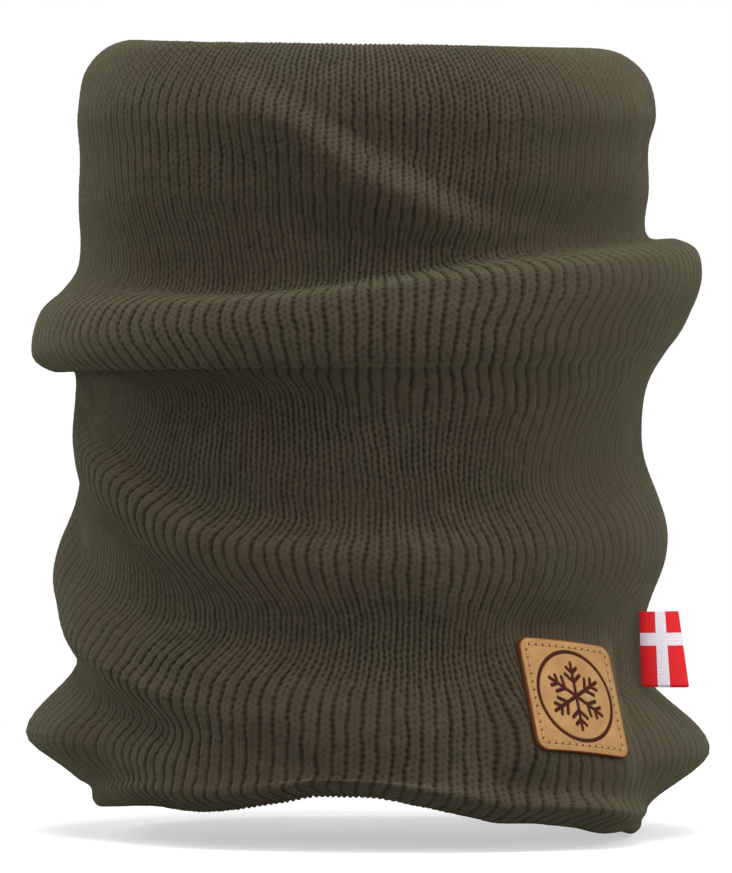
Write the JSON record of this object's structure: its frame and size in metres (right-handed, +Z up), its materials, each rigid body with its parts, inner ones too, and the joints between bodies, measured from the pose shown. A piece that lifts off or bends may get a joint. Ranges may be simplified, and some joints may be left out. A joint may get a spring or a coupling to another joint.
{
  "type": "neck gaiter",
  "caption": "Slouched rib-knit neck gaiter with fleece lining, rolled top edge, square leather patch and a folded woven side tab.",
  "frame": {"origin": "centre of the neck opening, on the plane that the lower hem stands on", "axes": "+Z up through the neck opening, -Y towards the front, +X towards the side with the woven tab"},
  "size_m": [0.2042, 0.2042, 0.238],
  "materials": {
    "rib_knit": "matte",
    "fleece": "matte",
    "thread": "matte",
    "leather": "satin",
    "patch_thread": "satin",
    "woven_tab": "satin",
    "care_tape": "satin"
  },
  "bodies": {
    "gaiter": {"outer_knit": "rib_knit", "fleece_lining": "fleece", "bottom_edge_seam": "thread", "outer_side_seam": "thread", "lining_side_seam": "thread", "leather_patch": "leather", "patch_stitches": "patch_thread"},
    "top_edge": {"top_edge_seam": "thread"},
    "flag_label": {"flag_label": "woven_tab"},
    "care_label": {"care_label": "care_tape"}
  },
  "joints": [
    {"name": "top_edge_pull_up", "type": "slide", "parent": "gaiter", "child": "top_edge", "axis": [0, 0, 1], "range_m": [0, 0.035], "deforming": ["outer_knit", "fleece_lining", "outer_side_seam", "lining_side_seam"]},
    {"name": "flag_label_swing", "type": "hinge", "parent": "gaiter", "child": "flag_label", "pos_m": [0.08664, -0.02649, 0.045], "axis": [-0.0833, 0.0255, 0.9962], "range_deg": [-90, 55]},
    {"name": "care_label_swing", "type": "hinge", "parent": "gaiter", "child": "care_label", "pos_m": [0.07557, 0.01675, 0.02], "axis": [0, 0, 1], "range_deg": [0, 100]}
  ]
}
